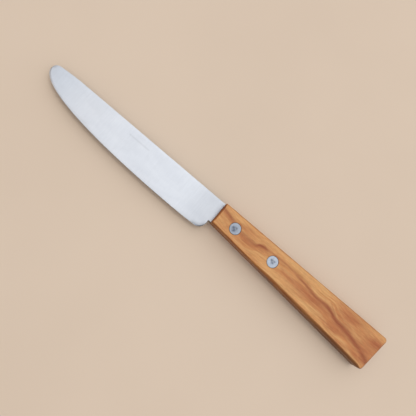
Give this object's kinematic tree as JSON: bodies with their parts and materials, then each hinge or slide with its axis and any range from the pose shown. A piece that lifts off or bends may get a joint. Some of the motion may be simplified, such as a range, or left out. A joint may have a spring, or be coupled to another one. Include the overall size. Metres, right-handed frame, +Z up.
{
  "type": "bread knife",
  "caption": "Round-tipped bread-roll knife with a thin satin steel blade and a flared wooden handle held by cutlery rivets.",
  "frame": {"origin": "middle of the knife's box, on the underside of the handle, where the knife lies on a table", "axes": "+X from the tip towards the butt, +Y towards the spine, +Z up from the table, square to the flat of the blade"},
  "size_m": [0.2146, 0.0204, 0.0105],
  "materials": {
    "blade_steel": "fine satin grind, running across the blade",
    "handle_wood": "oiled olive wood with darker veins, sanded smooth, edges eased",
    "rivet_metal": "ground level with the wood, scuffed, with a small dimple in each head"
  },
  "bodies": {
    "root": {"blade": "blade_steel", "handle": "handle_wood", "front_rivet_hollow_half": "rivet_metal", "front_rivet_solid_half": "rivet_metal", "rear_rivet_hollow_half": "rivet_metal", "rear_rivet_solid_half": "rivet_metal"}
  },
  "joints": []
}
